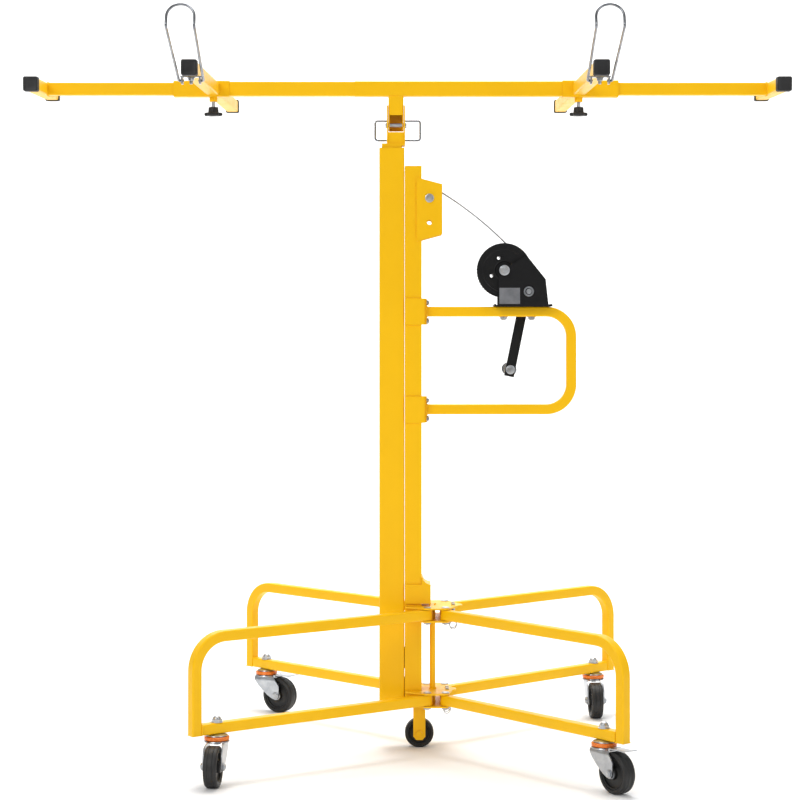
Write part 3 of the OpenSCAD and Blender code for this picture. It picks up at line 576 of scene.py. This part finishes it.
for side, x in zip(SIDES, (-ARM_X, ARM_X)):
    star_knob(side, x)

HOOK_HALF = 0.022
HOOK_WIDE = 0.024
HOOK_RISE = 0.018
HOOK_LEAN = math.radians(22)
HOOK_WIRE = 0.0025
KINK_Y = -0.607
KINK_RISE = 0.056


def bend(a, b, c, d, steps=6):
    """Points that round the corner at b."""
    p = b + d * (a - b).normalized()
    q = b + d * (c - b).normalized()
    return [
        (1 - t) ** 2 * p + 2 * t * (1 - t) * b + t * t * q
        for t in (k / steps for k in range(steps + 1))
    ]


def wire_hook(side):
    """Bent wire hook, with the bolt that holds its bracket."""
    hinge = UNLEAN @ Vector(JOINTS[f"hook_{side}_fold"]["pos_m"])
    rise = Vector((0, math.sin(HOOK_LEAN), math.cos(HOOK_LEAN)))
    foot = hinge + Vector((HOOK_HALF, 0, 0))
    kink = Vector((hinge.x + HOOK_WIDE, KINK_Y, BAR_Z + KINK_RISE))
    crown = kink + HOOK_RISE * rise
    half = [hinge + Vector((HOOK_HALF - 0.009, 0, 0))]
    half += bend(foot - Vector((0.009, 0, 0)), foot, kink, 0.005)
    half += bend(foot, kink, crown, 0.006)
    for k in range(13):
        a = math.radians(7.5 * k)
        half.append(crown - Vector((HOOK_WIDE * (1 - math.cos(a)), 0, 0)) + HOOK_WIDE * math.sin(a) * rise)
    other = [Vector((2 * hinge.x - p.x, p.y, p.z)) for p in reversed(half[:-1])]
    wire = Shape()
    wire.tube([LEAN @ p for p in half + other], HOOK_WIRE, 20)
    wire.make(f"wire_hook_{side}", f"hook_{side}_wire", "chrome_wire", replaces=(f"hook_{side}",), angle=60)
    bolt = Shape()
    under = LEAN @ frame_at((hinge.x, hinge.y, BAR_Z - 0.0145), (0, 0, -1))
    hex_head(bolt, under, 0.010, 0.0062)
    bolt.lathe([(0.003, 0.006), (0.003, 0.0115), (0.0024, 0.012)], under, 24)
    bolt.make(f"hook_bolt_{side}", "cradle", "zinc_steel")


for side in SIDES:
    wire_hook(side)


# ---------- winch ----------

DRUM = Vector(JOINTS["drum_spin"]["pos_m"])
SHEAVE = Vector(JOINTS["sheave_spin"]["pos_m"])
PINION = Vector(JOINTS["crank_spin"]["pos_m"])
GRIP = Vector(JOINTS["grip_spin"]["pos_m"])
FRONT_Y = -0.035
SHEAVE_LINE = 0.02375
DRUM_LINE = 0.0408
CABLE_BEND = 0.7
CABLE_R = 0.00175


def cable_path():
    """Over the sheave, then a shallow arc tangent to the coil on the drum."""
    dx, dz = DRUM.x - SHEAVE.x, DRUM.z - SHEAVE.z
    far = math.hypot(dx, dz)
    a, b = CABLE_BEND - SHEAVE_LINE, CABLE_BEND - DRUM_LINE
    u = (a * a - b * b + far * far) / (2 * far)
    v = math.sqrt(a * a - u * u)
    cx = SHEAVE.x + u * dx / far + v * dz / far
    cz = SHEAVE.z + u * dz / far - v * dx / far
    start = math.atan2(SHEAVE.z - cz, SHEAVE.x - cx)
    end = math.atan2(DRUM.z - cz, DRUM.x - cx)
    path = []
    for k in range(31):
        t = math.pi + (start - math.pi) * k / 30
        path.append(Vector((SHEAVE.x + SHEAVE_LINE * math.cos(t), 0, SHEAVE.z + SHEAVE_LINE * math.sin(t))))
    for k in range(1, 81):
        t = start + (end - start) * k / 80
        path.append(Vector((cx + CABLE_BEND * math.cos(t), 0, cz + CABLE_BEND * math.sin(t))))
    return path


def stranded(shape, path, radius, strands=6, lay=0.022):
    """Six strands laid round a core along the path."""
    strand_r = radius * 0.36
    offset = radius - strand_r
    side = Vector((0, 1, 0))
    run = 0.0
    lines = [[] for _ in range(strands)]
    for i, p in enumerate(path):
        t = (path[min(i + 1, len(path) - 1)] - path[max(i - 1, 0)]).normalized()
        side = (side - side.dot(t) * t).normalized()
        other = t.cross(side)
        if i:
            run += (p - path[i - 1]).length
        for k in range(strands):
            a = 2 * math.pi * (k / strands + run / lay)
            lines[k].append(p + offset * (math.cos(a) * side + math.sin(a) * other))
    for line in lines:
        shape.tube(line, strand_r, 6)
    shape.tube(path, radius * 0.62, 8)


def cable_pieces():
    """The taut run, and the coil on the drum."""
    cable = Shape()
    stranded(cable, cable_path(), CABLE_R)
    cable.make("stranded_cable", "mast", "steel_cable", replaces=("lift_cable",), angle=60)

    coil = Shape()
    turns, steps, low_y, high_y = 9, 36, -0.0225, 0.0115
    r = DRUM_LINE - 0.0002
    path = []
    for k in range(turns * steps + 1):
        a = 2 * math.pi * k / steps
        y = low_y + (high_y - low_y) * k / (turns * steps)
        path.append(Vector((DRUM.x + r * math.cos(a), y, DRUM.z + r * math.sin(a))))
    coil.tube(path, CABLE_R, 8)
    coil.make("wound_cable", "cable_drum", "steel_cable", angle=60)


def drum_rim():
    """Rolled edge and pressed rings of the drum's front flange."""
    rim = Shape()
    flange = frame_at((DRUM.x, -0.025, DRUM.z), FRONT)
    rim.ring([
        (0.0515, 0.0026), (0.0528, 0.0034), (0.0541, 0.0032), (0.0545, 0.0022), (0.0545, -0.0012),
        (0.0535, -0.002), (0.0522, -0.0016), (0.0515, -0.0002),
    ], flange, 96)
    rim.ring([(0.0165, 0.0024), (0.0185, 0.0036), (0.0205, 0.0024)], flange, 64)
    rim.ring([(0.0405, 0.0024), (0.0418, 0.0032), (0.0432, 0.0024)], flange, 80)
    rim.make("drum_rim", "cable_drum", "black_paint", angle=50)


def winch_heads():
    """Bolt heads of the drum's axle, the pinion's bush and the shaft's tip."""
    heads = Shape()
    hex_head(heads, frame_at((DRUM.x, FRONT_Y - 0.0058, DRUM.z), FRONT), 0.0145, 0.0062)
    spacer = [(0.0096, 0), (0.0102, 0.0006), (0.0102, 0.0058), (0.0094, 0.0064)]
    heads.lathe(spacer, frame_at((DRUM.x, FRONT_Y, DRUM.z), FRONT))
    hex_head(heads, frame_at((DRUM.x, 0.041, DRUM.z), BACK), 0.0145, 0.0055)
    bush = frame_at((PINION.x, FRONT_Y, PINION.z), FRONT)
    heads.ring([
        (0.0066, 0), (0.0098, 0), (0.0102, 0.0008), (0.0102, 0.0022), (0.0096, 0.003), (0.0072, 0.003),
        (0.0066, 0.0022),
    ], bush)
    heads.make("winch_axle_heads", "mast", "zinc_steel")

    tip = Shape()
    tip.lathe([(0.0058, 0.0085), (0.0052, 0.0094), (0.003, 0.0095)], bush, 32)
    tip.prism(hexagon(0.0062), 0.0094, 0.0102, bush, chamfer=0.0003)
    tip.make("crank_shaft_tip", "crank_arm", "zinc_steel")


def base_lips():
    """Rolled edges at both ends of the winch's base."""
    low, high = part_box("winch_body")
    r = 0.0026
    lips = Shape()
    for x in (low[0], high[0]):
        lips.tube([Vector((x, y, low[2] + r)) for y in (-0.0345, -0.02, 0, 0.02, 0.0345)], r, 14)
    lips.make("winch_base_lips", "mast", "black_paint", angle=60)


def label_border():
    """Raised line round the blank label."""
    low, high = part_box("winch_label")
    inset = 0.0016
    x0, x1 = low[0] + inset, high[0] - inset
    z0, z1 = low[2] + inset, high[2] - inset
    corners = [Vector((x, low[1] + 0.0001, z)) for x, z in ((x0, z0), (x1, z0), (x1, z1), (x0, z1))]
    border = Shape()
    for k in range(4):
        a, b = corners[k], corners[(k + 1) % 4]
        border.tube([a + (b - a) * f / 4 for f in range(5)], 0.00025, 6)
    border.make("label_border", "mast", "label_plate")


def crank_pieces():
    """Ribbed grip with its bolt, and the nut and washers of the crank."""
    grip = Shape()
    profile = [(0.0075, 0), (0.0122, 0.0002), (0.0129, 0.0012), (0.0129, 0.0045), (0.0112, 0.0065)]
    for k in range(18):
        z = 0.008 + 0.0043 * k
        swell = 0.0108 + 0.0016 * math.sin(math.pi * k / 17)
        proud = swell + 0.0004
        profile += [(swell, z), (proud, z + 0.001), (proud, z + 0.0024), (swell, z + 0.0034)]
    profile += [(0.0108, 0.0865), (0.0128, 0.0885), (0.0128, 0.0905), (0.011, 0.0918), (0.004, 0.092)]
    grip.lathe(profile, frame_at((GRIP.x, 0.0545, GRIP.z), BACK), 48)
    grip.make("handle_grip", "crank_grip", "black_plastic", replaces=("grip",), angle=50)

    bolt = Shape()
    hex_head(bolt, frame_at((GRIP.x, 0.0475, GRIP.z), FRONT), 0.0135, 0.0066)
    bolt.lathe([(0.0039, -0.0085), (0.0039, 0.0085)], frame_at((GRIP.x, 0.049, GRIP.z), BACK), 24)
    bolt.make("grip_bolt", "crank_grip", "zinc_steel")

    arm_end = Shape()
    washer = [(0.0115, 0), (0.0122, 0.0006), (0.0122, 0.0012), (0.0112, 0.0016)]
    for centre in (PINION, GRIP):
        arm_end.lathe(washer, frame_at((centre.x, 0.0541, centre.z), BACK), 40)
    nut = frame_at((PINION.x, 0.0545, PINION.z), BACK)
    arm_end.prism(hexagon(0.0165), 0.001, 0.008, nut, chamfer=0.0008)
    arm_end.make("crank_nut", "crank_arm", "zinc_steel")


cable_pieces()
drum_rim()
winch_heads()
base_lips()
label_border()
crank_pieces()


# ---------- bolts ----------

plates_low, plates_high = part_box("hub_plates")
PAIR_H = 0.028
LEVELS = [(plates_high[2] - PAIR_H, plates_high[2]), (plates_low[2], plates_low[2] + PAIR_H)]
TUBE_HALF = 0.01
frame_low, frame_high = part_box("winch_frame")
FRAME_LEVELS = (frame_low[2] + TUBE_HALF, frame_high[2] - TUBE_HALF)


def machine_bolts():
    """Leg pivots, sheave axle, clamp bolts and winch bolts."""
    bolts = Shape()
    round_head = [(0.0078, 0), (0.008, 0.0005), (0.0076, 0.0012), (0.0055, 0.002), (0.0025, 0.0024)]
    for tag in CORNERS:
        x, y, _ = JOINTS[f"leg_{tag}_fold"]["pos_m"]
        for low, high in LEVELS:
            bolts.lathe(round_head, frame_at((x, y, high), UP), 40)
            hex_head(bolts, frame_at((x, y, low), DOWN), 0.014, 0.004)
            bolts.lathe([(0.005, 0), (0.005, high - low)], frame_at((x, y, low), UP), 24)
    out = 0.0281
    for way in (-1, 1):
        hex_head(bolts, frame_at((SHEAVE.x, way * out, SHEAVE.z), (0, way, 0)), 0.0128, 0.0052)
    bolts.lathe([(0.004, 0), (0.004, 2 * out)], frame_at((SHEAVE.x, -out, SHEAVE.z), BACK), 24)
    for z in FRAME_LEVELS:
        for rise in (-0.019, 0.019):
            hex_head(bolts, frame_at((0.061, 0, z + rise), (1, 0, 0)), 0.0102, 0.0046)
            bolts.lathe([(0.003, 0), (0.003, 0.0098)], frame_at((0.0512, 0, z + rise), (1, 0, 0)), 20)
    top = frame_high[2]
    for x in (DRUM.x, DRUM.x + 0.056):
        hex_head(bolts, frame_at((x, 0, top - 0.02), DOWN), 0.0128, 0.0062)
        hex_head(bolts, frame_at((x, 0, top + 0.003), UP), 0.0128, 0.0055)
        bolts.lathe([(0.004, 0), (0.004, 0.023)], frame_at((x, 0, top - 0.02), UP), 20)
    bolts.make("machine_bolts", "mast", "zinc_steel", replaces=("frame_bolts",))


machine_bolts()


# ---------- weld beads ----------

CRADLE_BEAD = 0.0018
BAR_BEAD = 0.0017
MAST_BEAD = 0.0018
MAST_Y = 0.0255
ARM_TUBE = 0.0125
LEG_TUBE = 0.0102
UPRIGHT_AHEAD = 0.046


def weld_lines(name, body, lines, place, radius):
    """Beads along straight seams given as pairs of ends."""
    shape = Shape()
    for n, (a, b) in enumerate(lines):
        shape.bead(place @ Vector(a), place @ Vector(b), radius, seed=n + 3)
    shape.make(name, body, "yellow_paint", angle=60)


def square_seam(half, z):
    """Four seams round a square tube that ends at height z."""
    corners = [(-half, -half, z), (half, -half, z), (half, half, z), (-half, half, z)]
    return [(corners[k], corners[(k + 1) % 4]) for k in range(4)]


def upright_seams(x, z, half, reach):
    """Two upright seams where a tube meets the plane at x."""
    return [((x, dy, z - reach), (x, dy, z + reach)) for dy in (-half, half)]


def level_seams(x, z, half, reach):
    """Two level seams where a tube meets the plane at x."""
    return [((x, -reach, z + dz), (x, reach, z + dz)) for dz in (-half, half)]


def cradle_welds():
    """Post to crossbar, and arms to sleeves."""
    seams = square_seam(0.014, BAR_Z - 0.0151)
    for x, half in ((-ARM_X, 0.0160), (ARM_X, 0.0167)):
        for way in (-1, 1):
            y = way * half
            for dx in (-ARM_TUBE, ARM_TUBE):
                seams.append(((x + dx, y, BAR_Z - 0.010), (x + dx, y, BAR_Z + 0.010)))
            for dz in (ARM_TUBE, -ARM_TUBE):
                seams.append(((x - 0.010, y, BAR_Z + dz), (x + 0.010, y, BAR_Z + dz)))
    weld_lines("cradle_welds", "cradle", seams, LEAN, CRADLE_BEAD)


def outrigger_welds(side, x, way):
    """Outrigger tube to its end bar."""
    face = x + way * ARM_TUBE
    seams = upright_seams(face, BAR_Z, ARM_TUBE, 0.010) + level_seams(face, BAR_Z, ARM_TUBE, 0.010)
    weld_lines(f"outrigger_welds_{side}", f"outrigger_{side}_bar", seams, LEAN, BAR_BEAD)


def mast_welds():
    """Pulley bracket, hub plates, clamps, winch frame and strut."""
    low_z, high_z = (corner[2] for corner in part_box("pulley_bracket"))
    seams = []
    for way in (-1, 1):
        y = way * (MAST_Y + 0.0001)
        for f in (0.12, 0.36, 0.62, 0.86):
            z = low_z + f * (high_z - low_z)
            seams.append(((0.0405, y, z - 0.005), (0.0405, y, z + 0.005)))
        y = way * MAST_Y
        for _, high in LEVELS:
            seams.append(((0.021, y, high + 0.0008), (0.049, y, high + 0.0008)))
        for z in FRAME_LEVELS:
            for rise in (-0.0262, 0.0262):
                seams.append(((0.022, y, z + rise), (0.046, y, z + rise)))
    for z in FRAME_LEVELS:
        seams += upright_seams(0.0615, z, LEG_TUBE, 0.008) + level_seams(0.0615, z, LEG_TUBE, 0.008)
    for _, high in LEVELS:
        for near, far in ((0.0672, 0.0685), (0.0775, 0.0788)):
            seams.append(((near, -0.004, high + 0.0006), (far, 0.004, high + 0.0006)))
    weld_lines("mast_welds", "mast", seams, Matrix.Identity(4), MAST_BEAD)


def leg_welds(tag):
    """Fold-side seams where the upper tube's height meets the leg's upright."""
    fold = Vector(JOINTS[f"leg_{tag}_fold"]["pos_m"])
    stem = Vector(JOINTS[f"caster_{tag}_swivel"]["pos_m"])
    ahead = Vector((stem.x - fold.x, stem.y - fold.y, 0))
    inner = ahead.length + UPRIGHT_AHEAD - LEG_TUBE
    seams = upright_seams(inner, fold.z, LEG_TUBE, 0.008)
    seams.append(((inner, -0.008, fold.z + LEG_TUBE), (inner, 0.008, fold.z + LEG_TUBE)))
    place = frame_at((fold.x, fold.y, 0), UP, ahead)
    weld_lines(f"leg_welds_{tag}", f"leg_{tag}_frame", seams, place, BAR_BEAD)


cradle_welds()
for side, x, way in (("left", reach_left, 1), ("right", reach_right, -1)):
    outrigger_welds(side, x, way)
mast_welds()
for tag in CORNERS:
    leg_welds(tag)


# ---------- floor, light and camera ----------

def studio():
    """Pale seamless floor and backdrop, with large soft lights."""
    start, curve, half_width = 3.0, 1.5, 12.0
    sweep = [(-9.0, 0.0), (start, 0.0)]
    for k in range(1, 11):
        a = math.radians(9 * k)
        sweep.append((start + curve * math.sin(a), curve - curve * math.cos(a)))
    sweep.append((start + curve, 9.0))
    mesh = bpy.data.meshes.new("floor")
    verts = [(x, y, z - 0.0002) for y, z in sweep for x in (-half_width, half_width)]
    mesh.from_pydata(verts, [], [(2 * k, 2 * k + 1, 2 * k + 3, 2 * k + 2) for k in range(len(sweep) - 1)])
    mesh.polygons.foreach_set("use_smooth", [True] * len(mesh.polygons))
    floor = bpy.data.objects.new("floor", mesh)
    bpy.context.collection.objects.link(floor)
    mat, tree, shader, node = new_material("floor")
    shader.inputs["Base Color"].default_value = (0.93, 0.93, 0.93, 1)
    shader.inputs["Roughness"].default_value = 0.9
    shader.inputs["Specular IOR Level"].default_value = 0.1
    # The sweep is solid from the front and clear from behind, so it never hides the object
    side = node("ShaderNodeNewGeometry")
    clear = node("ShaderNodeBsdfTransparent")
    mix = node("ShaderNodeMixShader")
    tree.links.new(side.outputs["Backfacing"], mix.inputs[0])
    tree.links.new(shader.outputs["BSDF"], mix.inputs[1])
    tree.links.new(clear.outputs["BSDF"], mix.inputs[2])
    tree.links.new(mix.outputs["Shader"], tree.nodes["Material Output"].inputs["Surface"])
    mesh.materials.append(mat)
    world = bpy.data.worlds.new("studio")
    bpy.context.scene.world = world
    world.use_nodes = True
    world.node_tree.nodes["Background"].inputs["Color"].default_value = (1, 1, 1, 1)
    world.node_tree.nodes["Background"].inputs["Strength"].default_value = 0.4
    for name, place, aim, power, size in (
        ("key", (-2.8, -4.2, 3.4), (0, 0, 0.8), 92, 2.0),
        ("fill", (3.4, -3.6, 2.4), (0, 0, 0.8), 38, 2.4),
        ("top", (0.2, 0.4, 4.6), (0, 0, 0.6), 60, 3.0),
        ("back", (0.0, 1.6, 5.0), (0, 4.0, 1.4), 260, 3.0),
    ):
        light = bpy.data.lights.new(name, "AREA")
        light.energy = power
        light.size = size
        lamp = bpy.data.objects.new(name, light)
        lamp.location = place
        aimed = Vector(aim) - Vector(place)
        lamp.rotation_euler = aimed.to_track_quat("-Z", "Y").to_euler()
        bpy.context.collection.objects.link(lamp)


def camera():
    """Level camera in front of the object."""
    data = bpy.data.cameras.new("camera")
    data.lens = 90
    data.sensor_width = 36
    data.shift_y = -0.09125
    cam = bpy.data.objects.new("camera", data)
    cam.location = (0.008, -4.0, 0.8386)
    cam.rotation_euler = (math.radians(90), 0, 0)
    bpy.context.collection.objects.link(cam)
    bpy.context.scene.camera = cam


studio()
camera()

bpy.context.scene.view_settings.view_transform = "Standard"
